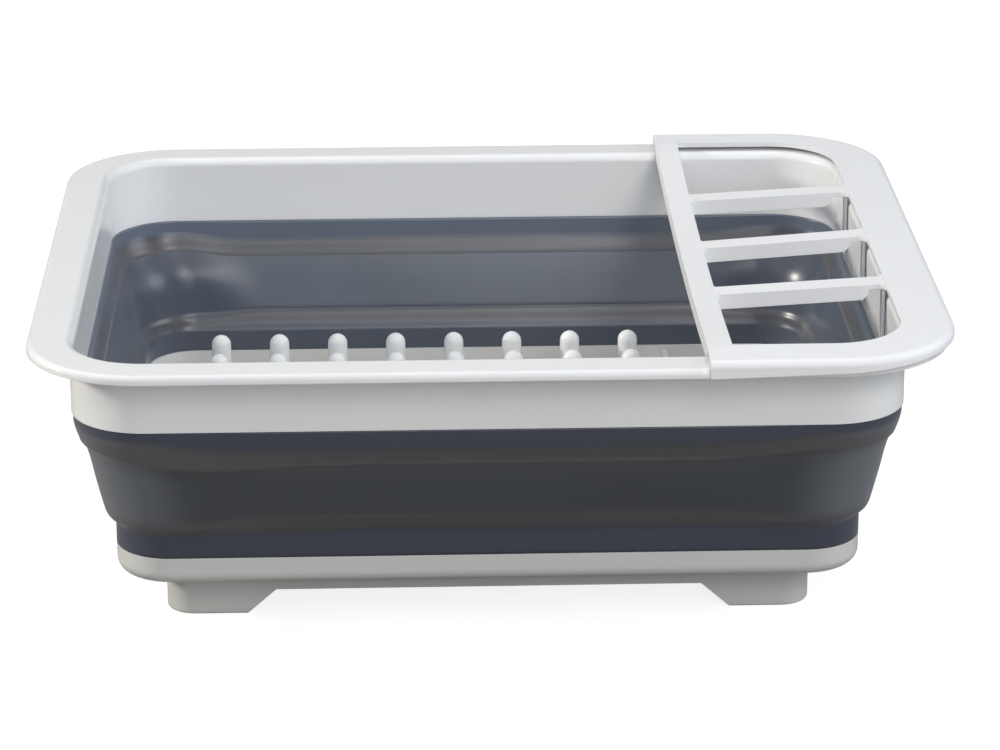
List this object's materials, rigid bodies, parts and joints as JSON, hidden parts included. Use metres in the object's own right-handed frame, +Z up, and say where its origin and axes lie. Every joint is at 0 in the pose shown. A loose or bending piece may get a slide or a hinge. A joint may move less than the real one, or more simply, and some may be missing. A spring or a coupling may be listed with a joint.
{
  "type": "collapsible drying rack",
  "caption": "Collapsible drying rack: a rim frame on a folding soft wall, a footed tray with upright pegs, and a lift-off cutlery holder.",
  "frame": {"origin": "centre of the object's box in plan, on the surface that the feet stand on", "axes": "+X along the rim towards the cutlery holder, +Y towards the back, +Z up"},
  "size_m": [0.3704, 0.3228, 0.125],
  "materials": {
    "white_plastic": "smooth moulded polypropylene, softly glossy",
    "grey_soft": "satin thermoplastic elastomer"
  },
  "bodies": {
    "base": {"base_tray": "white_plastic", "plate_pegs": "white_plastic", "foot_frame": "white_plastic", "wall_lower_band": "grey_soft", "wall_fold_panel": "grey_soft"},
    "frame": {"top_frame": "white_plastic", "wall_upper_band": "grey_soft"},
    "holder": {"cutlery_holder": "white_plastic"}
  },
  "joints": [
    {"name": "collapse", "type": "slide", "parent": "base", "child": "frame", "axis": [0, 0, -1], "range_m": [0, 0.07], "deforming": ["wall_fold_panel"]},
    {"name": "holder_lift", "type": "slide", "parent": "frame", "child": "holder", "axis": [0, 0, 1], "range_m": [0, 0.05]}
  ]
}
